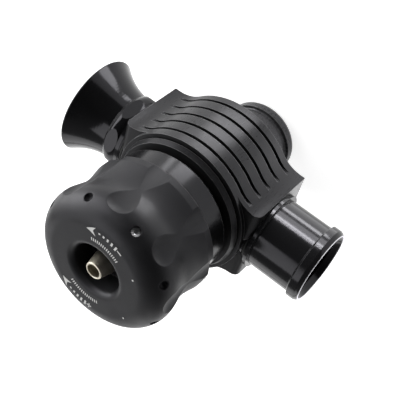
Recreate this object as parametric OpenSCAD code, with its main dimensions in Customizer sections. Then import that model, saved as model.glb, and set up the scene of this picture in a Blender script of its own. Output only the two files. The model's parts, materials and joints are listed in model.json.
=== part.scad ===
// Piston blow off valve: a finned body with an inlet below, a vent trumpet to +X,
// a recirculation spigot to -X and a spring adjuster cap on top.
// The valve axis is Z, with Z = 0 at the mouth of the inlet. Millimetres.

/* [Inlet spigot] */
// Length of the inlet from its mouth to the rear face of the body
inlet_len = 21.3; // [17:0.1:30]
// Radius of the inlet bore
inlet_bore_r = 11; // [9:0.1:11.2]
// Radius of the hose tube on both spigots
hose_r = 12.5; // [12:0.1:12.9]
// Radius of the bead that holds the hose on the inlet
inlet_bead_r = 13.65; // [13.2:0.05:14.5]
// Radius of the flange that seats on the rear face
inlet_flange_r = 15.4; // [14.8:0.1:17]
// Thickness of that flange
inlet_flange_t = 2; // [1:0.1:3]
// Radius of the threaded shank inside the body
inlet_shank_r = 13.6; // [13.2:0.1:14]
// Length of that shank, whose end is the valve seat
inlet_shank_len = 7.2; // [6:0.1:8]

/* [Valve body] */
// Radius of the round barrel
barrel_r = 25.2; // [24:0.1:27]
// How far the two ears that carry the ports stand beyond the barrel
ear_reach = 2.3; // [1.5:0.1:4]
// Height of the ears, from side to side across the valve axis
ear_h = 29.2; // [28.6:0.1:31]
// Length of the ears along the valve axis
ear_len = 27.1; // [26.6:0.1:30]
// Fillet radius between the barrel and an ear
ear_fillet_r = 12; // [11:0.1:12.5]
// Radius of the front corners of the ears
ear_corner_r = 2.4; // [1:0.1:3]
// How far the barrel stands beyond the ears
barrel_step = 1.4; // [0.8:0.1:2.5]
// Length of the tapered collar on the barrel
collar_len = 2.4; // [1.6:0.1:3]
// Radius of the collar at its foot
collar_r = 24; // [23.2:0.1:24.4]
// How much the collar tapers in radius
collar_taper = 1; // [0.2:0.1:1.5]
// Width of the relief groove at the collar's foot
relief_w = 0.5; // [0.3:0.1:0.8]
// Depth of that groove
relief_depth = 0.8; // [0.3:0.1:1.2]
// Distance from the rear face to the port axis
port_from_rear = 14.7; // [14.3:0.1:15.5]
// Radius of the port passages
port_r = 10.5; // [9:0.1:10.6]
// Radius of the valve chamber
chamber_r = 16.6; // [16:0.1:17]

/* [Cooling grooves] */
// Number of grooves on each side
groove_count = 5; // [1:1:5]
// Distance between grooves
groove_pitch = 5.3; // [4:0.1:5.4]
// Width of a groove
groove_w = 1.3; // [0.8:0.1:2]
// Depth of a groove at the crown of the barrel
groove_depth = 2.6; // [1:0.1:3]
// Distance from the rear face to the first groove
groove_start = 3.4; // [2:0.1:4.5]
// Height of the groove floor above the ears, which sets where a groove ends
groove_lift = 0.45; // [0.3:0.05:0.9]
// Fillet radius of the groove floor towards the ears
groove_fillet_r = 16; // [14:0.5:18]

/* [Side ports] */
// Radius of the threaded shanks of both side ports
port_shank_r = 12.6; // [12.4:0.05:12.7]
// Length of those shanks
port_shank_len = 8; // [6:0.1:9]
// Radius of the bore in the recirculation spigot
spigot_bore_r = 10.8; // [9:0.1:11]
// Length of the recirculation spigot outside the body
spigot_len = 21.4; // [18:0.1:30]
// Radius of the bead on the recirculation spigot
spigot_bead_r = 13.5; // [13.2:0.05:14.5]
// Radius of the flange on the recirculation spigot
spigot_flange_r = 13.9; // [13.6:0.1:14.4]
// Thickness of that flange
spigot_flange_t = 1.3; // [0.8:0.1:2.5]
// Length of the vent trumpet outside the body
trumpet_len = 21; // [18:0.5:30]
// Radius of the rim of the trumpet
trumpet_rim_r = 17.9; // [16:0.1:20]
// Radius of the neck of the trumpet
trumpet_neck_r = 12.4; // [12:0.1:13]
// Radius of the barrel-shaped wrench collar of the trumpet
trumpet_collar_r = 13.7; // [13.5:0.1:14.4]
// Length of that collar
trumpet_collar_len = 6.7; // [6:0.1:8]
// Radius of the foot that seats the trumpet on the ear
trumpet_foot_r = 12.8; // [12.75:0.05:13.2]
// Distance between two opposite wrench flats
trumpet_flats = 25.7; // [25.2:0.1:26.6]
// Thickness of the trumpet's rim
trumpet_wall = 1.2; // [0.8:0.1:1.6]

/* [Cylinder sleeve] */
// Radius of the bore that the piston runs in
sleeve_bore_r = 15.05; // [14.8:0.01:15.3]
// Radius of the sleeve's threaded shank in the body
sleeve_shank_r = 17.9; // [17.6:0.1:18.4]
// Length of that shank
sleeve_shank_len = 5.2; // [4.4:0.1:5.6]
// Radius of the neck between the body and the bright ring
sleeve_neck_r = 19.4; // [18.8:0.1:20]
// Length of that neck
sleeve_neck_len = 1.9; // [1.2:0.1:3]
// Radius of the bright ring
ring_r = 21.74; // [21:0.01:22.2]
// Length of the bright ring
ring_len = 11.9; // [11:0.1:14]
// Radius of the hub that the cap screws onto
hub_r = 19.4; // [19:0.1:19.8]
// Length of the hub
hub_len = 12.2; // [11:0.1:14]

/* [Adjuster cap] */
// Gap between the bright ring's rear edge and the cap's rim
cap_gap = 8.5; // [7:0.1:9]
// Length of the cap
cap_len = 28.4; // [28:0.1:32]
// Radius of the cap's front bulge
cap_r = 24.5; // [24:0.1:25.5]
// Radius of the cap's rear rim
cap_rim_r = 24.1; // [23.7:0.1:25]
// Length of the straight land at the rim
cap_land = 3.4; // [2:0.1:5]
// Depth of the waist between the rim and the bulge
waist_depth = 1.4; // [0.4:0.1:1.5]
// Radius of the large rounding on the cap's shoulder
cap_shoulder_r = 8; // [7:0.1:9]
// Number of finger flutes
flute_count = 8; // [5:1:10]
// Radius of the round-nosed cutter that makes a flute
flute_cut_r = 8; // [5:0.1:10]
// Radius of the cap at the floor of a flute
flute_floor_r = 22.8; // [22.5:0.1:23.4]
// Distance from the cap's front to where the cutter stopped
flute_from_front = 7.7; // [7:0.1:9]
// Radius of the round recess in the front of the cap
recess_r = 8.7; // [8:0.1:9.5]
// Radius of the rounded lip of the recess
recess_lip = 2.2; // [1:0.1:3]
// Depth of the recess
recess_depth = 9; // [8:0.1:9.4]
// Thickness of the cap between the recess and the spring chamber
cap_web_t = 2; // [1.6:0.1:3]
// Radius of the small tool holes
tool_hole_r = 1.5; // [1:0.1:1.8]
// Depth of the tool hole that holds the lock screw
tool_hole_depth = 3.6; // [2.5:0.1:4.5]
// Depth of the other tool holes, which are shallow dimples
dimple_depth = 1.6; // [1:0.1:2.5]
// Turn of the tool holes about the axis
tool_hole_turn = 25; // [0:1:45]

/* [Piston and spring] */
// Length of the piston inside the sleeve when the valve is shut
piston_engage = 10.8; // [9:0.1:12]
// Distance from the piston's open end to its first guide ring
guide_inset = 2; // [1.5:0.1:2.5]
// Distance between the two guide rings
guide_pitch = 5; // [4:0.1:6]
// Height of a guide ring
guide_h = 1.6; // [1:0.1:2]
// Wall of a guide ring
guide_wall = 0.9; // [0.6:0.1:1.2]
// Radius of the spring pocket in the piston
pocket_r = 12; // [11.5:0.1:12.4]
// Thickness of the piston's crown
crown_t = 3.2; // [2.4:0.1:4]
// Mean radius of the spring
spring_r = 9.8; // [9:0.1:10.4]
// Radius of the spring wire
spring_wire_r = 1.1; // [0.8:0.05:1.4]
// Number of turns of the spring
spring_turns = 7; // [5:1:9]
// Height of the cup that carries the spring's upper end
seat_cup_h = 5.4; // [4:0.1:6]
// Thickness of that cup's floor
seat_floor_t = 2.4; // [1.6:0.1:3]
// Thickness of the thrust washer
washer_t = 0.6; // [0.4:0.1:1]
// Radius of the hole in the thrust washer
washer_hole_r = 7; // [6:0.1:9]

/* [Hose nipple] */
// Radius of the hole through the nipple
nipple_bore_r = 2.42; // [1.8:0.01:2.5]
// Radius of the nipple's tip
nipple_tip_r = 3; // [2.9:0.05:3.3]
// Radius of the nipple's barb
nipple_barb_r = 4; // [3.6:0.05:4.2]
// Length of the barb
nipple_barb_h = 5; // [3:0.1:6]
// Width across the flats of the nipple's hexagon
nipple_hex = 9; // [8:0.1:11]
// Height of the hexagon
nipple_hex_h = 1.8; // [1.6:0.1:3]
// Length of the nipple above the recess floor
nipple_len = 9.1; // [8:0.1:12]
// Radius of the nipple's threaded foot
nipple_foot_r = 3.4; // [3.2:0.1:4]

/* [Fits and seals] */
// Running clearance between sliding faces
run_gap = 0.05; // [0.03:0.01:0.1]
// Clearance around a threaded shank
thread_gap = 0.1; // [0.05:0.01:0.2]
// Clearance of the cap's skirt round the bright ring
skirt_gap = 0.16; // [0.1:0.01:0.3]
// Radius of the section of an O-ring
seal_r = 0.5; // [0.4:0.05:0.6]
// Room left at rest around an O-ring in its groove
seal_gap = 0.05; // [0.03:0.01:0.1]

/* [Hidden] */
$fn = 96;
z_rear = inlet_len;
z_port = z_rear + port_from_rear;
z_ear = z_rear + ear_len;
z_barrel = z_ear + barrel_step;
z_collar = z_barrel + collar_len;
z_ring = z_collar + sleeve_neck_len;
z_hub = z_ring + ring_len;
z_hub_end = z_hub + hub_len;
z_cap = z_ring + cap_gap;
z_front = z_cap + cap_len;
z_recess = z_front - recess_depth;
z_web = z_recess - cap_web_t;
z_seat_cup = z_web - washer_t;
z_valve_seat = z_rear + inlet_shank_len;
z_sleeve_end = z_collar - sleeve_shank_len;
seal_rise = 2*seal_gap;
piston_r = sleeve_bore_r - 3*run_gap;
guide_r = sleeve_bore_r - run_gap;
z_piston = z_valve_seat + 3*seal_rise;
z_pocket = z_piston + crown_t;
z_piston_end = z_sleeve_end + piston_engage;
z_seat_floor = z_seat_cup - seat_floor_t;
seat_wall = 1.6;
cup_r = sleeve_bore_r - 2*run_gap;
ear_x = barrel_r + ear_reach;
ear_y = ear_h/2;
flute_step = 360/flute_count;
hole_tilt = 27;
hole_r = cap_r - cap_shoulder_r*(1 - cos(hole_tilt));
z_hole = z_front - cap_shoulder_r*(1 - sin(hole_tilt));
lock_hole = 1;
overcut = 1;
rim_edge = 0.9;
collar_drop = 1.26;
collar_mid = 3.9;
flat_turn = 15;
bell_start = 0.15;
seal_land = 0.6;
cap_seal_inset = 2.2;
skirt_reach = 2.6;
barb_step = 0.6;
tip_edge = 0.2;
bead_lip = 0.4;
bead_nose = 1.6;
nose_swell = 0.6;
bead_land = 2.4;
mouth_flare = 1.4;
mouth_len = 2.2;
bead_foot = 0.6;

// Points along an arc about c, from angle a to angle b
function arc(c, r, a, b, n = 12) =
  [for (i = [0:n]) c + r*[cos(a + (b - a)*i/n), sin(a + (b - a)*i/n)]];

// Groove depth that holds an O-ring with its gap
function gland(depth = 0) = 2*seal_r + 2*seal_gap - depth;

// Turns a shape drawn along Z so that it leaves the port axis towards +X or -X
module at_port(side) {
  translate([0, 0, z_port])
    rotate([0, 90*side, 0])
      children();
}

module o_ring(mean_r) {
  rotate_extrude()
    translate([mean_r, 0])
      circle(seal_r, $fn = 32);
}

// Ring cut that a round seal or a guide ring lies in
module ring_cut(r_in, r_out, z, h) {
  translate([0, 0, z - h/2])
    difference() {
      cylinder(r = r_out, h = h);
      translate([0, 0, -overcut])
        cylinder(r = r_in, h = h + 2*overcut);
    }
}

// Barrel with two ears and the fillets between them, as one straight form
module eared_form(r, half_h, fillet_r, length) {
  centre = [sqrt((r + fillet_r)^2 - (half_h + fillet_r)^2), half_h + fillet_r];
  cylinder(r = r, h = length);
  translate([-ear_x, -half_h, 0])
    cube([2*ear_x, 2*half_h, length]);
  for (sx = [0, 1], sy = [0, 1])
    mirror([sx, 0, 0])
      mirror([0, sy, 0])
        difference() {
          linear_extrude(length)
            polygon([[0, 0], [centre[0], half_h], centre]);
          translate([centre[0], centre[1], -overcut])
            cylinder(r = fillet_r, h = length + 2*overcut);
        }
}

// What the rounded front corners take off the ears
module ear_corners() {
  for (sx = [0, 1])
    mirror([sx, 0, 0])
      translate([ear_x - ear_corner_r, ear_y + overcut, ear_len - ear_corner_r])
        rotate([90, 0, 0])
          difference() {
            cube([ear_corner_r + overcut, ear_corner_r + overcut, ear_h + 2*overcut]);
            translate([0, 0, -overcut])
              cylinder(r = ear_corner_r, h = ear_h + 4*overcut, $fn = 48);
          }
}

// Grooves whose floor follows a smaller barrel and runs out on the ears
module cooling_grooves() {
  difference() {
    for (i = [0:groove_count - 1])
      translate([-ear_x, -barrel_r - overcut, groove_start + i*groove_pitch - groove_w/2])
        cube([2*ear_x, 2*(barrel_r + overcut), groove_w]);
    translate([0, 0, -overcut])
      eared_form(barrel_r - groove_depth, ear_y + groove_lift, groove_fillet_r, ear_len + 4*overcut);
  }
}

module valve_body() {
  color([0.13, 0.13, 0.135])
    difference() {
      union() {
        translate([0, 0, z_rear])
          difference() {
            eared_form(barrel_r, ear_y, ear_fillet_r, ear_len);
            ear_corners();
            cooling_grooves();
          }
        translate([0, 0, z_ear])
          cylinder(r = barrel_r, h = barrel_step);
        translate([0, 0, z_barrel])
          cylinder(r1 = collar_r, r2 = collar_r - collar_taper, h = collar_len);
      }
      ring_cut(collar_r - relief_depth, collar_r + overcut, z_barrel + relief_w/2, relief_w);
      translate([0, 0, z_rear - overcut])
        cylinder(r = inlet_shank_r + thread_gap, h = inlet_shank_len + overcut);
      translate([0, 0, z_valve_seat])
        cylinder(r = chamber_r, h = z_sleeve_end - z_valve_seat);
      translate([0, 0, z_sleeve_end])
        cylinder(r = sleeve_shank_r + thread_gap, h = sleeve_shank_len + overcut);
      for (side = [-1, 1])
        at_port(side) {
          cylinder(r = port_r, h = ear_x);
          translate([0, 0, ear_x - port_shank_len])
            cylinder(r = port_shank_r + thread_gap, h = port_shank_len + overcut);
        }
    }
}

// Half section of a hose end: a plain or flared mouth, a thin lip, a nose that swells to the bead, and the tube
function hose_end(bead_r, bore_r, length, flare) =
  let (lip_r = bore_r + mouth_flare + bead_lip, step = bead_nose + bead_land, steps = 8)
  concat(
    [[bore_r, length], [bore_r, mouth_len], [bore_r + flare, 0]],
    [for (i = [0:steps]) let (t = i/steps)
      [lip_r + (bead_r - lip_r)*t*(1 + nose_swell*(1 - t)), bead_nose*t]],
    [[bead_r, step], [hose_r + bead_foot/3, step + bead_foot/2], [hose_r, step + bead_foot],
      [hose_r, length]]
  );

module shank(r, bore_r, length, seal_at) {
  difference() {
    cylinder(r = r, h = length);
    translate([0, 0, -overcut])
      cylinder(r = bore_r, h = length + 2*overcut);
    ring_cut(r + thread_gap - gland(), r + overcut, seal_at, 2*seal_r + 2*seal_gap);
  }
}

// Height of a shank's O-ring behind the flange, and its mean radius in the bore
shank_seal = 2*seal_r;
function shank_seal_r(r) = r + thread_gap - seal_gap - seal_r;

module inlet_spigot() {
  color([0.16, 0.16, 0.165]) {
    rotate_extrude()
      polygon(concat(
        hose_end(inlet_bead_r, inlet_bore_r, inlet_len - inlet_flange_t, 0),
        [[inlet_flange_r, inlet_len - inlet_flange_t], [inlet_flange_r, inlet_len],
          [inlet_bore_r, inlet_len]]
      ));
    translate([0, 0, z_rear])
      shank(inlet_shank_r, inlet_bore_r, inlet_shank_len, shank_seal);
  }
}

module inlet_o_ring() {
  color([0.05, 0.05, 0.05])
    translate([0, 0, z_rear + shank_seal])
      o_ring(shank_seal_r(inlet_shank_r));
}

module recirc_spigot() {
  color([0.06, 0.06, 0.065])
    at_port(-1) {
      translate([0, 0, ear_x + spigot_len])
        mirror([0, 0, 1])
          rotate_extrude()
            polygon(concat(
              hose_end(spigot_bead_r, spigot_bore_r, spigot_len - spigot_flange_t, mouth_flare),
              [[spigot_flange_r, spigot_len - spigot_flange_t], [spigot_flange_r, spigot_len],
                [spigot_bore_r, spigot_len]]
            ));
      translate([0, 0, ear_x])
        mirror([0, 0, 1])
          shank(port_shank_r, spigot_bore_r, port_shank_len, shank_seal);
    }
}

module recirc_o_ring() {
  color([0.05, 0.05, 0.05])
    at_port(-1)
      translate([0, 0, ear_x - shank_seal])
        o_ring(shank_seal_r(port_shank_r));
}

// Radius of the trumpet's bell at a share t of its length, a curve that opens ever faster
function bell(t, neck, rim) = neck + (rim - neck)*(bell_start*t + (1 - bell_start)*t^2);

// Point of the trumpet's collar at a distance from the ear: a foot, then a barrel shape about collar_mid
function collar_point(x) =
  let (barrel = trumpet_collar_r - collar_drop*((x - collar_mid)/(trumpet_collar_len - collar_mid))^2)
  [max(barrel, x < collar_mid ? trumpet_foot_r : trumpet_neck_r), x];

module vent_trumpet() {
  bell_len = trumpet_len - trumpet_collar_len;
  steps = 16;
  lip = trumpet_wall/2;
  color([0.07, 0.068, 0.066])
    at_port(1) {
      translate([0, 0, ear_x])
        difference() {
          rotate_extrude()
            polygon(concat(
              [[spigot_bore_r, 0]],
              [for (i = [0:2*steps]) collar_point(trumpet_collar_len*i/(2*steps))],
              [for (i = [0:steps]) [bell(i/steps, trumpet_neck_r, trumpet_rim_r),
                trumpet_collar_len + (bell_len - lip)*i/steps]],
              arc([trumpet_rim_r - lip, trumpet_len - lip], lip, 0, 180, 10),
              [for (i = [steps:-1:0]) [bell(i/steps, spigot_bore_r, trumpet_rim_r - trumpet_wall),
                trumpet_collar_len + (bell_len - lip)*i/steps]]
            ));
          for (i = [0:5])
            rotate(60*i + flat_turn)
              translate([trumpet_flats/2, -trumpet_collar_r, 0])
                cube([trumpet_collar_r, 2*trumpet_collar_r, trumpet_collar_len]);
        }
      translate([0, 0, ear_x])
        mirror([0, 0, 1])
          shank(port_shank_r, spigot_bore_r, port_shank_len, shank_seal);
    }
}

module trumpet_o_ring() {
  color([0.05, 0.05, 0.05])
    at_port(1)
      translate([0, 0, ear_x - shank_seal])
        o_ring(shank_seal_r(port_shank_r));
}

z_sleeve_seal = z_collar - 2*seal_r - seal_gap - seal_land;
z_cap_seal = z_cap + cap_seal_inset;
ring_edge = 0.5;

module cylinder_sleeve() {
  color([0.06, 0.06, 0.065])
    difference() {
      rotate_extrude()
        polygon([
          [sleeve_bore_r, z_sleeve_end], [sleeve_shank_r, z_sleeve_end],
          [sleeve_shank_r, z_collar], [sleeve_neck_r, z_collar], [sleeve_neck_r, z_ring],
          [ring_r - ring_edge, z_ring], [ring_r, z_ring + ring_edge], [ring_r, z_hub], [hub_r, z_hub],
          [hub_r, z_hub_end], [sleeve_bore_r, z_hub_end]
        ]);
      ring_cut(sleeve_shank_r + thread_gap - gland(), sleeve_shank_r + overcut,
        z_sleeve_seal, 2*seal_r + 2*seal_gap);
      ring_cut(ring_r + skirt_gap - gland(), ring_r + overcut, z_cap_seal, 2*seal_r + 2*seal_gap);
    }
}

module sleeve_o_ring() {
  color([0.05, 0.05, 0.05])
    translate([0, 0, z_sleeve_seal])
      o_ring(shank_seal_r(sleeve_shank_r));
}

module cap_o_ring() {
  color([0.05, 0.05, 0.05])
    translate([0, 0, z_cap_seal])
      o_ring(ring_r + skirt_gap - seal_gap - seal_r);
}

z_guides = [z_piston_end - guide_inset, z_piston_end - guide_inset - guide_pitch];
z_piston_seal = z_piston_end - guide_inset - guide_pitch/2;
nose_seal_r = (inlet_bore_r + inlet_shank_r)/2;
z_nose_seal = z_valve_seat + seal_rise + seal_r;

module piston() {
  nose = 1.2;
  color([0.72, 0.56, 0.28])
    difference() {
      rotate_extrude()
        polygon([
          [0, z_piston], [piston_r - nose, z_piston], [piston_r, z_piston + nose],
          [piston_r, z_piston_end], [pocket_r, z_piston_end], [pocket_r, z_pocket], [0, z_pocket]
        ]);
      for (z = z_guides)
        ring_cut(guide_r - guide_wall - run_gap, piston_r + overcut, z, guide_h + 2*run_gap);
      ring_cut(piston_r - gland(), piston_r + overcut, z_piston_seal, 2*seal_r + 2*seal_gap);
      translate([0, 0, z_nose_seal])
        rotate_extrude()
          translate([nose_seal_r, 0])
            circle(seal_r + seal_gap, $fn = 32);
    }
}

module piston_guide_rings() {
  color([0.85, 0.83, 0.78])
    for (z = z_guides)
      ring_cut(guide_r - guide_wall, guide_r, z, guide_h);
}

module piston_o_ring() {
  color([0.05, 0.05, 0.05])
    translate([0, 0, z_piston_seal])
      o_ring(piston_r - seal_gap - seal_r);
}

module piston_nose_seal() {
  color([0.05, 0.05, 0.05])
    translate([0, 0, z_nose_seal])
      o_ring(nose_seal_r);
}

// Swept tube along the coil: one closed turn at each end and open turns between
module main_spring() {
  end_gap = 0.1;
  low = z_pocket + end_gap + spring_wire_r;
  high = z_seat_floor - end_gap - spring_wire_r;
  per_turn = 20;
  sides = 8;
  rings = per_turn*spring_turns;
  closed = 2.2*spring_wire_r;
  open_rise = (high - low - 2*closed)/(spring_turns - 2);
  function rise(t) = t < 1 ? closed*t
    : t > spring_turns - 1 ? high - low - closed*(spring_turns - t)
    : closed + open_rise*(t - 1);
  points = [for (i = [0:rings], j = [0:sides - 1])
    let (turn = i/per_turn, r = spring_r + spring_wire_r*cos(360*j/sides))
    [r*cos(360*turn), r*sin(360*turn), low + rise(turn) + spring_wire_r*sin(360*j/sides)]];
  walls = [for (i = [0:rings - 1], j = [0:sides - 1])
    let (k = (j + 1)%sides)
    [i*sides + j, (i + 1)*sides + j, (i + 1)*sides + k, i*sides + k]];
  ends = [[for (j = [0:sides - 1]) j], [for (j = [sides - 1:-1:0]) rings*sides + j]];
  color([0.66, 0.67, 0.68])
    polyhedron(points, concat(walls, ends));
}

module spring_seat() {
  hole = 6;
  color([0.7, 0.7, 0.71])
    rotate_extrude()
      polygon([
        [hole, z_seat_cup], [hole, z_seat_floor], [cup_r - seat_wall, z_seat_floor],
        [cup_r - seat_wall, z_seat_cup - seat_cup_h], [cup_r, z_seat_cup - seat_cup_h],
        [cup_r, z_seat_cup]
      ]);
}

module thrust_washer() {
  color([0.78, 0.62, 0.34])
    translate([0, 0, z_seat_cup + run_gap])
      difference() {
        cylinder(r = cup_r - 1, h = washer_t - 2*run_gap);
        translate([0, 0, -overcut])
          cylinder(r = washer_hole_r, h = washer_t + 2*overcut);
      }
}

// Radius of the cap's side at a share t of the way from its rim to its bulge
function cap_side(t) = cap_rim_r + (cap_r - cap_rim_r)*t
  - waist_depth*(t < 0.5 ? sin(180*t) : sin(180*t)^2);

// Half section of the cap's outside, from its rim over the shoulder to the lip of the recess
function cap_outline() =
  let (low = z_cap + cap_land, high = z_front - cap_shoulder_r, steps = 24)
  concat(
    [[cap_rim_r - rim_edge, z_cap], [cap_rim_r, z_cap + rim_edge]],
    [for (i = [0:steps]) [cap_side(i/steps), low + (high - low)*i/steps]],
    arc([cap_r - cap_shoulder_r, high], cap_shoulder_r, 0, 90, 20),
    arc([recess_r + recess_lip, z_front - recess_lip], recess_lip, 90, 180, 12)
  );

module cap_form() {
  difference() {
    rotate_extrude()
      polygon(concat(cap_outline(), [[recess_r, z_recess], [0, z_recess], [0, z_cap]]));
    for (i = [0:flute_count - 1])
      rotate(tool_hole_turn + 180 + flute_step*(i + 0.5))
        translate([flute_floor_r + flute_cut_r, 0, z_front - flute_from_front]) {
          sphere(r = flute_cut_r);
          translate([0, 0, -cap_len])
            cylinder(r = flute_cut_r, h = cap_len);
        }
  }
}

// Places a shape at tool hole i, along the hole and pointing out of it
module at_tool_hole(i) {
  rotate(tool_hole_turn + 180 + flute_step*i)
    translate([hole_r, 0, z_hole])
      rotate([0, 90 - hole_tilt, 0])
        children();
}

// Shallow round hole with a ball-nosed floor
module dimple() {
  translate([0, 0, tool_hole_r - dimple_depth]) {
    sphere(r = tool_hole_r, $fn = 32);
    cylinder(r = tool_hole_r, h = dimple_depth + overcut, $fn = 32);
  }
}

skirt_end = z_hub + skirt_reach;

module adjuster_cap() {
  color([0.24, 0.24, 0.25])
    difference() {
      cap_form();
      translate([0, 0, z_cap - overcut])
        cylinder(r = ring_r + skirt_gap, h = skirt_end - z_cap + overcut);
      translate([0, 0, z_cap])
        cylinder(r = hub_r + thread_gap, h = z_web - z_cap);
      translate([0, 0, z_web - overcut])
        cylinder(r = nipple_foot_r + thread_gap, h = cap_web_t + 2*overcut);
      ring_cut(nipple_seal_r - seal_r - seal_gap, nipple_seal_r + seal_r + seal_gap,
        z_recess, 2*(2*seal_r + seal_gap));
      for (i = [0:flute_count - 1])
        at_tool_hole(i)
          if (i == lock_hole)
            translate([0, 0, -tool_hole_depth])
              cylinder(r = tool_hole_r, h = tool_hole_depth + overcut, $fn = 32);
          else
            dimple();
    }
}

nipple_seal_r = nipple_foot_r + thread_gap + seal_land + seal_r;

module vacuum_nipple() {
  neck_r = nipple_barb_r - barb_step;
  tip = z_recess + nipple_len;
  color([0.8, 0.72, 0.52])
    difference() {
      union() {
        translate([0, 0, z_recess])
          cylinder(d = nipple_hex/cos(30), h = nipple_hex_h, $fn = 6);
        rotate_extrude()
          polygon([
            [0, z_web], [nipple_foot_r, z_web], [nipple_foot_r, z_recess + nipple_hex_h/2],
            [neck_r, z_recess + nipple_hex_h/2], [neck_r, tip - nipple_barb_h],
            [nipple_barb_r, tip - nipple_barb_h],
            [nipple_tip_r, tip - tip_edge], [nipple_tip_r - tip_edge, tip], [0, tip]
          ]);
      }
      translate([0, 0, z_web - overcut])
        cylinder(r = nipple_bore_r, h = tip - z_web + 2*overcut);
    }
}

module nipple_o_ring() {
  color([0.05, 0.05, 0.05])
    translate([0, 0, z_recess - seal_r - seal_gap])
      o_ring(nipple_seal_r);
}

module lock_screw() {
  socket = 1.3;
  length = 2.2;
  color([0.75, 0.75, 0.76])
    at_tool_hole(lock_hole)
      translate([0, 0, -tool_hole_depth])
        difference() {
          cylinder(r = tool_hole_r - run_gap, h = length, $fn = 32);
          translate([0, 0, length - socket])
            cylinder(d = tool_hole_r, h = socket + overcut, $fn = 6);
        }
}

valve_body();
inlet_spigot();
inlet_o_ring();
recirc_spigot();
recirc_o_ring();
vent_trumpet();
trumpet_o_ring();
cylinder_sleeve();
sleeve_o_ring();
cap_o_ring();
piston();
piston_guide_rings();
piston_o_ring();
piston_nose_seal();
main_spring();
spring_seat();
thrust_washer();
adjuster_cap();
vacuum_nipple();
nipple_o_ring();
lock_screw();
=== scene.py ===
"""Looks of a piston blow off valve, in metres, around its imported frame.

The valve axis is Z, with the inlet's mouth at Z = 0 and the adjuster cap on top.
The vent trumpet points to +X and the recirculation spigot to -X.
"""
import json
import math

import bpy
import numpy as np
from mathutils import Matrix, Vector


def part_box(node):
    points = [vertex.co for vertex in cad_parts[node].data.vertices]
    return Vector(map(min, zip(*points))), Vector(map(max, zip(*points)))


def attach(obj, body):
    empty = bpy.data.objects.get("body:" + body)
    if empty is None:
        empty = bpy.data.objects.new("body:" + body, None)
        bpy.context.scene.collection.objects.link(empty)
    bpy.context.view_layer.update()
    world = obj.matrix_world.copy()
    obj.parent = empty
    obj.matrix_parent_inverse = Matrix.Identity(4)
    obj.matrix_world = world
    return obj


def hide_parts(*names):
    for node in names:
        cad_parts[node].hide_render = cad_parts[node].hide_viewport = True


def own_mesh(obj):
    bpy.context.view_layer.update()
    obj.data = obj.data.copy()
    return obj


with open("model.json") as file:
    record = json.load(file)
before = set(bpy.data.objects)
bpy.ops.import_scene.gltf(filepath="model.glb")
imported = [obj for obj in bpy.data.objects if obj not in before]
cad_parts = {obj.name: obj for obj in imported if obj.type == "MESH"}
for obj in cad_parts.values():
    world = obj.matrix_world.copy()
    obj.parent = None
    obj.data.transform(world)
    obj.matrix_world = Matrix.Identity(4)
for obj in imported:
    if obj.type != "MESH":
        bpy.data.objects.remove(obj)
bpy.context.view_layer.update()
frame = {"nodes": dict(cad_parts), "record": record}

MM = 0.001

# Camera of the photograph: where it looks, from how far, and how it is turned
LOOK_AT = Vector((-2.58, 4.13, 39.5))*MM
CAMERA_DISTANCE = 304.5*MM
CAMERA_AZIMUTH = -21.54
CAMERA_ELEVATION = 39.61
CAMERA_ROLL = -129.57
SENSOR_WIDTH = 36
FOCAL_LENGTH = 81.53
NEAREST_SEEN = 10*MM

# Soft boxes: where each stands, its size in metres and its power. It faces the valve, or up from the
# floor, and where it names nodes it is flagged off all others
FLOOR_LAMP = 1*MM
SOFT_BOXES = (
    {"name": "overhead_box", "place": (0.35, 0.1, 0.85), "size": (0.7, 0.7), "watts": 4},
    {"name": "back_box", "place": (0.1, 0.8, 0.27), "size": (1.2, 0.4), "watts": 2.4},
    {"name": "left_box", "place": (0.8, -0.25, 0.28), "size": (0.9, 0.5), "watts": 8},
    {"name": "shoulder_box", "place": (0.75, -0.3, 0.3), "size": (1.3, 0.9), "watts": 14,
     "lights": ("adjuster_cap",)},
    {"name": "table_box", "place": (0.012, -0.07, FLOOR_LAMP), "size": (0.04, 0.05), "watts": 0.046,
     "up": True},
    {"name": "strip_box", "place": (0.048, -0.075, FLOOR_LAMP), "size": (0.01, 0.04), "watts": 0.01,
     "up": True},
    {"name": "under_box", "place": (-0.03, -0.027, FLOOR_LAMP), "size": (0.03, 0.03), "watts": 0.005,
     "up": True},
    {"name": "tube_box", "place": (-0.028, -0.049, FLOOR_LAMP), "size": (0.022, 0.016), "watts": 0.018,
     "up": True, "lights": ("recirc_spigot",)},
    {"name": "ear_box", "place": (-0.035, 0.013, FLOOR_LAMP), "size": (0.022, 0.022), "watts": 0.002,
     "up": True, "lights": ("valve_body",)},
    {"name": "front_strip", "place": (0.08, -0.9, 0.035), "size": (0.4, 0.05), "watts": 1.8,
     "lights": ("recirc_spigot", "lock_screw")},
    {"name": "front_table", "place": (0.08, -0.42, FLOOR_LAMP), "size": (0.2, 0.4), "watts": 8,
     "up": True, "lights": ("recirc_spigot", "lock_screw")},
    {"name": "near_table", "place": (0.01, -0.15, FLOOR_LAMP), "size": (0.12, 0.14), "watts": 0.35,
     "up": True, "lights": ("recirc_spigot",)},
)

# Brightness of the studio's pale wall behind the valve and of the dark room in front of it, and how
# far to the +Y side a direction points where the wall begins and where it is brightest
WALL_LIGHT = 0.3
ROOM_LIGHT = 0.05
WALL_BEGINS = -0.4
WALL_BRIGHTEST = 0.6

# How white the floor is by itself, before lamps and shadow, its paper, and how far it reaches
FLOOR_GLOW = 0.8
FLOOR_PAPER = (0.8, 0.8, 0.8, 1)
FLOOR_REACH = 3.0
WHITE = (1, 1, 1, 1)

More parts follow.
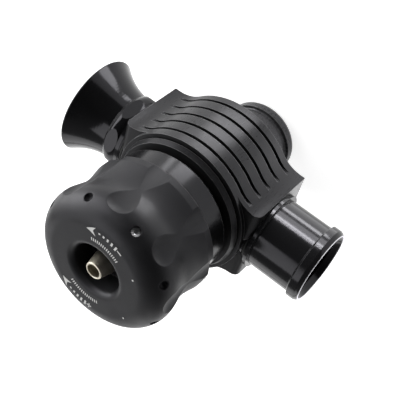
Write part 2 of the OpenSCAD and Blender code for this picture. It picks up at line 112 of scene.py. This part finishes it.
# Main spring, closed at both ends: lowest and highest wire centre, mean radius, wire radius, turns.
# Under it is room for the seat's travel
SPRING_LOW = 34.8*MM
SPRING_HIGH = 75.8*MM
SPRING_RADIUS = 9.8*MM
SPRING_WIRE = 1.1*MM
SPRING_TURNS = 7

# A closed turn climbs this many wire radii. The wire's ends taper over a 400th of a turn, to a 50th
# of its radius. The grid has so many steps in a turn of the coil and round the wire
CLOSED_CLIMB = 2.2
TAPER_RATE = 400
TAPER_LEAST = 0.02
TURN_STEPS = 90
WIRE_STEPS = 24

# Painted shade: the cap's recess is painted black nearer to the valve axis than this radius, and the
# painted shade fades out beyond it
RECESS_RADIUS = 7.6*MM
RECESS_FADE = 0.7*MM
RECESS_SHADE = (0.002, 0.002, 0.002, 1)

# The end of the recirculation spigot's mouth is bare metal to this depth
LIP_DEPTH = 0.1*MM
LIP_METAL = (0.65, 0.65, 0.66, 1)

# Painted shade: the nipple is painted black below this height, deep in the cap's recess
FOOT_TOP = 86.0*MM
FOOT_FADE = 1.2*MM
FOOT_SHADE = (0.004, 0.004, 0.004, 1)

# Print on the front of the cap: two arrows with growing bars, a sign and a row of fine ticks, the
# upper one to soften and the lower to stiffen. Angles in degrees about the valve axis
CAP_FRONT = 91.0*MM
PRINT_RISE = 0.03*MM
PRINT_ROWS = (
    {"name": "softer", "arrow": (-82, -70), "row": (-87, -115), "fine": (-76, -122), "sign": "minus"},
    {"name": "harder", "arrow": (62, 50), "row": (66, 94), "fine": (58, 106), "sign": "plus"},
)

# Sizes of the print in millimetres: where the arrow, the bars and the ticks lie, and what they measure.
# The arrow's notch is a share of its length, and its taper a share of its width
ARROW_RADIUS = 16.2
ARROW_HALF = 1.7
ARROW_NOTCH = 0.3
ARROW_TAPER = 0.98
BAR_RADIUS = 16.5
BAR_WIDE = 0.7
BAR_SHORTEST = 0.6
BAR_GROWTH = 0.3
BAR_COUNT = 5
SIGN_LONG = 1.8
SIGN_THIN = 0.45
TICK_RADIUS = 12.8
TICK_TALL = 1.15
TICK_WIDE = 0.36
TICK_COUNT = 15

# Two small dots: where each lies, by radius and angle, how large they are, and their innermost ring
PRINT_DOTS = ((16.0, -147.7), (17.1, 144.6))
DOT_RADIUS = 0.32
DOT_MIDDLE = 0.02


def camera_axes():
    """Right, up and back of the camera, from its azimuth, elevation and roll."""
    azimuth = math.radians(CAMERA_AZIMUTH)
    elevation = math.radians(CAMERA_ELEVATION)
    back = Vector((
        math.sin(azimuth)*math.cos(elevation),
        -math.cos(azimuth)*math.cos(elevation),
        math.sin(elevation),
    ))
    level = Vector((math.cos(azimuth), math.sin(azimuth), 0))
    upright = back.cross(level)
    roll = math.radians(CAMERA_ROLL)
    right = level*math.cos(roll) + upright*math.sin(roll)
    return right, back.cross(right), back


RIGHT, UP, BACK = camera_axes()


def add_camera():
    """The photograph's camera, looking at LOOK_AT."""
    data = bpy.data.cameras.new("photo_camera")
    data.sensor_width = SENSOR_WIDTH
    data.lens = FOCAL_LENGTH
    data.clip_start = NEAREST_SEEN
    camera = bpy.data.objects.new("photo_camera", data)
    turn = Matrix((RIGHT, UP, BACK)).transposed().to_4x4()
    camera.matrix_world = Matrix.Translation(LOOK_AT + BACK*CAMERA_DISTANCE) @ turn
    bpy.context.scene.collection.objects.link(camera)
    bpy.context.scene.camera = camera


def add_soft_box(name, place, size, watts, up=False, lights=()):
    """A rectangular lamp, unseen by the camera, that lights every node or only the named ones."""
    data = bpy.data.lights.new(name, "AREA")
    data.shape = "RECTANGLE"
    data.size, data.size_y = size
    data.energy = watts
    lamp = bpy.data.objects.new(name, data)
    lamp.location = place
    away = Vector((0, 0, -1)) if up else Vector(place) - LOOK_AT
    lamp.rotation_euler = away.to_track_quat("Z", "Y").to_euler()
    lamp.visible_camera = False
    if lights:
        flagged = bpy.data.collections.new(name + "_lights")
        for node in lights:
            flagged.objects.link(frame["nodes"][node])
        lamp.light_linking.receiver_collection = flagged
    bpy.context.scene.collection.objects.link(lamp)


class Graph:
    """Adds nodes to a material, a world or a group, and links them."""

    def __init__(self, tree):
        self.tree = tree

    def add(self, kind, settings=None, **inputs):
        """A node of that kind. An input is a value, or another node's output socket."""
        made = self.tree.nodes.new(kind)
        for key, value in (settings or {}).items():
            setattr(made, key, value)
        for key, value in inputs.items():
            self.put(made, key.replace("_", " "), value)
        return made

    def put(self, made, key, value):
        """Sets or links one input, named or numbered."""
        socket = made.inputs[int(key[1:])] if key[1:].isdigit() else made.inputs[key]
        if isinstance(value, bpy.types.NodeSocket):
            self.tree.links.new(value, socket)
        else:
            socket.default_value = value

    def math(self, operation, first, second):
        """A sum, product or other result of two values."""
        made = self.add("ShaderNodeMath", {"operation": operation}, i0=first, i1=second)
        return made.outputs[0]

    def ramp(self, value, low, high, to_low=0.0, to_high=1.0):
        """Maps a value from one range to another, and holds it at the ends."""
        made = self.add("ShaderNodeMapRange", i0=value, i1=low, i2=high, i3=to_low, i4=to_high)
        return made.outputs[0]

    def mix(self, share, first, second):
        """A colour between two colours."""
        made = self.add("ShaderNodeMix", {"data_type": "RGBA"})
        self.put(made, "i0", share)
        self.put(made, "i6", first)
        self.put(made, "i7", second)
        return made.outputs[2]


def clear_tree(owner):
    """An empty graph for a material or a world."""
    owner.use_nodes = True
    owner.node_tree.nodes.clear()
    return Graph(owner.node_tree)


def light_room():
    """A pale wall on the +Y side that darkens towards the -Y side, the same to every ray."""
    world = bpy.data.worlds.new("studio")
    bpy.context.scene.world = world
    g = clear_tree(world)
    towards = g.add("ShaderNodeTexCoord").outputs["Generated"]
    behind = g.add("ShaderNodeSeparateXYZ", Vector=towards).outputs["Y"]
    level = g.ramp(behind, WALL_BEGINS, WALL_BRIGHTEST, ROOM_LIGHT, WALL_LIGHT)
    room = g.add("ShaderNodeBackground", Color=WHITE, Strength=level)
    g.add("ShaderNodeOutputWorld", Surface=room.outputs[0])


def new_group(name, inputs, outputs):
    """An empty shader group with named sockets, and its graph, input and output nodes."""
    tree = bpy.data.node_groups.new(name, "ShaderNodeTree")
    for key, kind, value in inputs:
        socket = tree.interface.new_socket(key, in_out="INPUT", socket_type=kind)
        socket.default_value = value
    for key, kind in outputs:
        tree.interface.new_socket(key, in_out="OUTPUT", socket_type=kind)
    g = Graph(tree)
    return tree, g, g.add("NodeGroupInput").outputs, g.add("NodeGroupOutput")


# Kinds of group sockets
NUMBER = "NodeSocketFloat"
DIRECTION = "NodeSocketVector"

# An edge is where the rounded normal leaves the flat one: cosines at which it begins and is full
EDGE_BEGINS = 0.995
EDGE_FULL = 0.9

# How a finish varies: share of its colour in dark and light clouds, the noise levels at which streaks
# and clouds begin and are full, and how deep the tool marks are
CLOUD_DARK = 0.8
CLOUD_LIGHT = 1.15
STREAK_LEVELS = (0.3, 0.7)
CLOUD_LEVELS = (0.35, 0.65)
MARK_DEPTH = 0.02*MM


def object_place(g):
    """The Object coordinates of a surface point, which are its place in the frame."""
    return g.add("ShaderNodeTexCoord").outputs["Object"]


def tool_mark_group():
    """Fine streaks that a cutter leaves: noise drawn out along one axis, and a broad cloud."""
    tree, g, given, out = new_group(
        "tool_marks",
        [("Stretch", DIRECTION, (1, 1, 1)), ("Density", NUMBER, 3000), ("Cloud Size", NUMBER, 90)],
        [("Streak", NUMBER), ("Cloud", NUMBER)],
    )
    place = object_place(g)
    drawn = g.add("ShaderNodeVectorMath", {"operation": "MULTIPLY"}, i0=place, i1=given["Stretch"])
    streak = g.add("ShaderNodeTexNoise", Vector=drawn.outputs[0], Scale=given["Density"], Detail=4.0)
    cloud = g.add("ShaderNodeTexNoise", Vector=place, Scale=given["Cloud Size"], Detail=3.0)
    g.put(out, "Streak", streak.outputs[0])
    g.put(out, "Cloud", cloud.outputs[0])
    return tree


def broken_edge_group():
    """A rounded normal near edges, and a mask of where the edges are."""
    tree, g, given, out = new_group(
        "broken_edges",
        [("Radius", NUMBER, 0.2*MM)],
        [("Normal", DIRECTION), ("Edge", NUMBER)],
    )
    rounded = g.add("ShaderNodeBevel", {"samples": 6}, Radius=given["Radius"]).outputs[0]
    flat = g.add("ShaderNodeNewGeometry").outputs["Normal"]
    close = g.add("ShaderNodeVectorMath", {"operation": "DOT_PRODUCT"}, i0=rounded, i1=flat)
    g.put(out, "Normal", rounded)
    g.put(out, "Edge", g.ramp(close.outputs["Value"], EDGE_BEGINS, EDGE_FULL))
    return tree


TOOL_MARKS = tool_mark_group()
BROKEN_EDGES = broken_edge_group()


def finish_material(name, colour, edge_colour, roughness, streak=(1, 1, 1), density=3000, bump=0.1,
                    spread=0.08, edge_radius=0.2*MM, metallic=0.0, specular=0.5, smudge=0.0,
                    sheen_tint=(1, 1, 1)):
    """A metal finish: its colour, paler edges (wear on most finishes, painted highlight on the satin
    and ring finishes, both on the inlet's), and roughness and bump from tool marks and smudges.
    """
    material = bpy.data.materials.new(name)
    g = clear_tree(material)
    marks = g.add("ShaderNodeGroup", {"node_tree": TOOL_MARKS}, Stretch=streak, Density=density)
    edges = g.add("ShaderNodeGroup", {"node_tree": BROKEN_EDGES}, Radius=edge_radius)
    dark = tuple(CLOUD_DARK*c for c in colour) + (1,)
    light = tuple(CLOUD_LIGHT*c for c in colour) + (1,)
    tone = g.mix(marks.outputs["Cloud"], dark, light)
    wear_and_painted_glint = g.mix(edges.outputs["Edge"], tone, tuple(edge_colour) + (1,))
    fine = g.ramp(marks.outputs["Streak"], *STREAK_LEVELS, roughness - spread, roughness + spread)
    broad = g.ramp(marks.outputs["Cloud"], *CLOUD_LEVELS, -smudge, smudge)
    rough = g.math("ADD", fine, broad)
    relief = g.add("ShaderNodeBump", Strength=bump, Distance=MARK_DEPTH,
                   Height=marks.outputs["Streak"], Normal=edges.outputs["Normal"])
    surface = g.add("ShaderNodeBsdfPrincipled", Base_Color=wear_and_painted_glint, Roughness=rough,
                    Metallic=metallic, Normal=relief.outputs[0])
    surface.inputs["Specular IOR Level"].default_value = specular
    surface.inputs["Specular Tint"].default_value = tuple(sheen_tint) + (1,)
    g.add("ShaderNodeOutputMaterial", Surface=surface.outputs[0])
    return material


def plain_finish(name, colour, roughness, metallic=0.0, density=2000, bump=0.08):
    """A finish whose edges keep its own colour, for rubber, plastic and inner pieces."""
    return finish_material(name, colour, colour, roughness, density=density, bump=bump,
                           spread=0.05, metallic=metallic)


def cover(material, share, colour):
    """Lays a colour over a finish, by a share that changes over the surface."""
    g = Graph(material.node_tree)
    surface = material.node_tree.nodes["Principled BSDF"]
    tone = surface.inputs["Base Color"].links[0].from_socket
    g.put(surface, "Base Color", g.mix(share, tone, colour))


def set_metal(material, share):
    """Makes a finish metal by a share that changes over the surface."""
    Graph(material.node_tree).put(material.node_tree.nodes["Principled BSDF"], "Metallic", share)


def paint_recess_shade(material):
    """Painted shade: within the cap's recess, nearer to the valve axis than its wall, the finish is
    painted darker.
    """
    g = Graph(material.node_tree)
    flatten = {"operation": "MULTIPLY"}
    across = g.add("ShaderNodeVectorMath", flatten, i0=object_place(g), i1=(1, 1, 0)).outputs[0]
    radius = g.add("ShaderNodeVectorMath", {"operation": "LENGTH"}, i0=across).outputs["Value"]
    shade_share = g.ramp(radius, RECESS_RADIUS, RECESS_RADIUS + RECESS_FADE, 1.0, 0.0)
    cover(material, shade_share, RECESS_SHADE)


def bare_lip(material):
    """The thin end of the recirculation spigot's mouth, at its outermost X, is bare metal."""
    g = Graph(material.node_tree)
    along = g.add("ShaderNodeSeparateXYZ", Vector=object_place(g)).outputs["X"]
    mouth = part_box("recirc_spigot")[0][0]
    lip = g.ramp(along, mouth + LIP_DEPTH, mouth + 2*LIP_DEPTH, 1.0, 0.0)
    cover(material, lip, LIP_METAL)
    set_metal(material, lip)


def paint_foot_shade(material):
    """Painted shade: the nipple's foot, deep in the recess, is painted black and is not metal below
    FOOT_TOP.
    """
    g = Graph(material.node_tree)
    height = g.add("ShaderNodeSeparateXYZ", Vector=object_place(g)).outputs["Z"]
    brass = g.ramp(height, FOOT_TOP - FOOT_FADE, FOOT_TOP)
    cover(material, g.math("SUBTRACT", 1.0, brass), FOOT_SHADE)
    set_metal(material, brass)


# Black anodising shines slightly cool
COOL = (0.94, 0.93, 1.0)

# What the polished black pieces share
POLISH = {"density": 1500, "bump": 0.03, "spread": 0.03, "specular": 0.25, "sheen_tint": COOL}
POLISHED_BLACK = (0.006, 0.006, 0.0065)
POLISHED_EDGE = (0.06, 0.06, 0.062)

# Painted highlight: the satin finish's pale edges stand in for glints along the grooves' edges
SATIN_BLACK = finish_material("satin_black", (0.012, 0.012, 0.0125), (0.24, 0.24, 0.245), 0.34,
                              streak=(1, 1, 0.1), density=4200, bump=0.1, spread=0.09, specular=0.25,
                              smudge=0.03, sheen_tint=COOL)
GLOSS_BLACK = finish_material("gloss_black", POLISHED_BLACK, POLISHED_EDGE, 0.15, **POLISH)
CHARCOAL = finish_material("charcoal", (0.009, 0.009, 0.0098), (0.012, 0.012, 0.013), 0.46,
                           density=6000, bump=0.2, edge_radius=0.5*MM, specular=0.22,
                           smudge=0.08, sheen_tint=COOL)
PALE_BRASS = finish_material("pale_brass", (0.7, 0.65, 0.54), (0.94, 0.9, 0.8), 0.42,
                             density=1500, bump=0.02, metallic=1.0)
BRIGHT_STEEL = finish_material("bright_steel", (0.42, 0.42, 0.43), (0.5, 0.5, 0.5), 0.42,
                               bump=0.02, metallic=1.0)
BRASS = finish_material("brass", (0.72, 0.53, 0.24), (0.85, 0.7, 0.42), 0.3, streak=(1, 1, 0.1),
                        metallic=1.0)
PLAIN_ALUMINIUM = finish_material("plain_aluminium", (0.68, 0.68, 0.7), (0.8, 0.8, 0.81), 0.35,
                                  metallic=1.0)
SPRING_STEEL = plain_finish("spring_steel", (0.5, 0.51, 0.53), 0.35, metallic=1.0)
GUIDE_PLASTIC = plain_finish("guide_plastic", (0.8, 0.78, 0.72), 0.55)
SEAL_RUBBER = plain_finish("seal_rubber", (0.015, 0.015, 0.015), 0.65)
PRINT_WHITE = plain_finish("print_white", (0.62, 0.62, 0.61), 0.6)
# Painted highlight: the ring's pale edges stand in for the glint along its rear edge
RING_BLACK = finish_material("ring_black", POLISHED_BLACK, (0.4, 0.4, 0.41), 0.22,
                             edge_radius=0.3*MM, **POLISH)
LIPPED_BLACK = finish_material("lipped_black", POLISHED_BLACK, POLISHED_EDGE, 0.15, **POLISH)
# The inlet is paler partly from hose wear and partly as painted light, standing in for reflections on
# its bead
RUBBED_AND_PAINTED_LIGHT = finish_material("rubbed_and_painted_light", (0.034, 0.034, 0.035), (0.25, 0.25, 0.255), 0.3,
                               density=900, bump=0.08, spread=0.12, edge_radius=0.3*MM, sheen_tint=COOL)
# Painted shade darkens the cap's recess
paint_recess_shade(CHARCOAL)
bare_lip(LIPPED_BLACK)
# Painted shade blackens the nipple's foot
paint_foot_shade(PALE_BRASS)

# Finish of each material slot in the record
FINISHES = {
    "satin_black": SATIN_BLACK,
    "gloss_black": GLOSS_BLACK,
    "charcoal": CHARCOAL,
    "pale_brass": PALE_BRASS,
    "bright_steel": BRIGHT_STEEL,
    "brass": BRASS,
    "guide_plastic": GUIDE_PLASTIC,
    "spring_steel": SPRING_STEEL,
    "plain_aluminium": PLAIN_ALUMINIUM,
    "seal_rubber": SEAL_RUBBER,
}

# The sleeve's ring has pale edges as a painted highlight, the inlet is paler, partly rubbed by hoses
# and partly painted light, and the recirculation spigot has a bare lip
OWN_FINISHES = {
    "cylinder_sleeve": RING_BLACK,
    "inlet_spigot": RUBBED_AND_PAINTED_LIGHT,
    "recirc_spigot": LIPPED_BLACK,
}


def dress_nodes():
    """Each CAD node takes the finish of its slot in the record, or its own."""
    for part in frame["record"]["subparts"]:
        mesh = frame["nodes"][part["node"]].data
        mesh.materials.clear()
        mesh.materials.append(OWN_FINISHES.get(part["node"], FINISHES[part["material_slot"]]))


def grid_quads(points, round_v):
    """Quads between neighbours in a grid of points, joined up where its second way is round."""
    across, along = points.shape[:2]
    index = np.arange(across*along).reshape(across, along)
    index = np.concatenate([index, index[:, :1]], axis=1) if round_v else index
    quads = np.stack([index[:-1, :-1], index[1:, :-1], index[1:, 1:], index[:-1, 1:]], axis=-1)
    return quads.reshape(-1, 4)


def make_piece(name, grids, finish, body, round_v=False):
    """One piece from one or more grids of points, riding on a body."""
    places = [grid.reshape(-1, 3) for grid in grids]
    starts = np.cumsum([0] + [len(place) for place in places])
    quads = [grid_quads(grid, round_v) + start for grid, start in zip(grids, starts)]
    mesh = bpy.data.meshes.new(name)
    mesh.from_pydata(np.concatenate(places).tolist(), [], np.concatenate(quads).tolist())
    mesh.shade_smooth()
    mesh.materials.append(finish)
    piece = bpy.data.objects.new(name, mesh)
    bpy.context.scene.collection.objects.link(piece)
    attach(piece, body)
    return piece


def add_spring():
    """A wire swept along a coil.

    The coil turns evenly and climbs slowly over its first and last turn, where the wire lies on
    itself, and steadily between. The wire's section is a circle of SPRING_WIRE about the coil's
    path, drawn in the plane that holds the valve axis, and it tapers to a point at both ends.
    """
    turn = np.linspace(0, SPRING_TURNS, TURN_STEPS*SPRING_TURNS + 1)
    closed = CLOSED_CLIMB*SPRING_WIRE
    climb = np.interp(turn, [0, 1, SPRING_TURNS - 1, SPRING_TURNS],
                      [0, closed, SPRING_HIGH - SPRING_LOW - closed, SPRING_HIGH - SPRING_LOW])
    wire = SPRING_WIRE*np.clip(np.minimum(turn, SPRING_TURNS - turn)*TAPER_RATE, TAPER_LEAST, 1)
    circle = np.linspace(0, 2*np.pi, WIRE_STEPS, endpoint=False)
    around, section = np.meshgrid(2*np.pi*turn, circle, indexing="ij")
    radius = SPRING_RADIUS + wire[:, None]*np.cos(section)
    height = SPRING_LOW + climb[:, None] + wire[:, None]*np.sin(section)
    points = np.stack([radius*np.cos(around), radius*np.sin(around), height], axis=-1)
    spring = make_piece("coil_spring", [points], SPRING_STEEL, "seat", round_v=True)
    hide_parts("main_spring")
    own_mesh(spring)


def on_cap_face(radius, angle):
    """Points of the print from polar places on the cap's front, in millimetres and degrees."""
    turned = np.radians(angle)
    height = np.full(np.shape(turned), CAP_FRONT + PRINT_RISE)
    return np.stack([radius*MM*np.cos(turned), radius*MM*np.sin(turned), height], axis=-1)


def printed_bar(radius, angle, tall, wide):
    """A bar of print: a small sector of a ring, tall along the radius and wide along the arc."""
    across, up = np.meshgrid(np.linspace(-0.5, 0.5, 5), np.linspace(-0.5, 0.5, 3), indexing="ij")
    return on_cap_face(radius + tall*up, angle - np.degrees(wide/radius)*across)


def printed_arrow(back, tip, radius, half):
    """An arrowhead along the arc: its half width shrinks evenly to the tip, and its back is notched."""
    share, side = np.meshgrid(np.linspace(0, 1, 9), np.linspace(-1, 1, 9), indexing="ij")
    notch = ARROW_NOTCH*(1 - np.abs(side))*(1 - share)
    width = half*side*(1 - ARROW_TAPER*share)*np.sign(tip - back)
    return on_cap_face(radius - width, back + (tip - back)*(share + notch))


def printed_dot(radius, angle, size):
    """A round dot: rings about its middle, on the cap's front."""
    out, turn = np.meshgrid(np.linspace(DOT_MIDDLE, 1, 4), np.linspace(0, 2*np.pi, 17), indexing="ij")
    points = on_cap_face(np.full(out.shape, radius), np.full(out.shape, angle))
    points[..., 0] += size*MM*out*np.cos(turn)
    points[..., 1] += size*MM*out*np.sin(turn)
    return points


def add_print():
    """Arrows, bars, signs, ticks and dots on the cap's front."""
    for row in PRINT_ROWS:
        *bars, sign = np.linspace(*row["row"], BAR_COUNT + 1)
        marks = [printed_arrow(*row["arrow"], ARROW_RADIUS, ARROW_HALF)]
        for i, angle in enumerate(bars):
            marks.append(printed_bar(BAR_RADIUS, angle, BAR_SHORTEST + BAR_GROWTH*i, BAR_WIDE))
        marks.append(printed_bar(BAR_RADIUS, sign, SIGN_THIN, SIGN_LONG))
        if row["sign"] == "plus":
            marks.append(printed_bar(BAR_RADIUS, sign, SIGN_LONG, SIGN_THIN))
        for angle in np.linspace(*row["fine"], TICK_COUNT):
            marks.append(printed_bar(TICK_RADIUS, angle, TICK_TALL, TICK_WIDE))
        make_piece(row["name"] + "_marks", marks, PRINT_WHITE, "cap")
    dots = [printed_dot(radius, angle, DOT_RADIUS) for radius, angle in PRINT_DOTS]
    make_piece("print_dots", dots, PRINT_WHITE, "cap")


def add_floor():
    """A wide white floor under the inlet's mouth, which keeps a soft shadow."""
    corners = np.array([[-1, -1, 0], [1, -1, 0], [1, 1, 0], [-1, 1, 0]])*FLOOR_REACH
    mesh = bpy.data.meshes.new("floor")
    mesh.from_pydata(corners.tolist(), [], [[0, 1, 2, 3]])
    floor = bpy.data.objects.new("floor", mesh)
    bpy.context.scene.collection.objects.link(floor)
    material = bpy.data.materials.new("floor_white")
    g = clear_tree(material)
    path = g.add("ShaderNodeLightPath").outputs
    looked = g.math("MAXIMUM", path["Is Camera Ray"], path["Is Glossy Ray"])
    seen = g.math("MAXIMUM", looked, path["Is Transmission Ray"])
    paper = g.add("ShaderNodeBsdfDiffuse", Color=FLOOR_PAPER)
    glow = g.add("ShaderNodeEmission", Color=WHITE, Strength=g.math("MULTIPLY", seen, FLOOR_GLOW))
    both = g.add("ShaderNodeAddShader", i0=paper.outputs[0], i1=glow.outputs[0])
    g.add("ShaderNodeOutputMaterial", Surface=both.outputs[0])
    mesh.materials.append(material)


bpy.context.scene.view_settings.view_transform = "Standard"
add_camera()
light_room()
for box in SOFT_BOXES:
    add_soft_box(**box)
add_floor()
dress_nodes()
add_spring()
add_print()
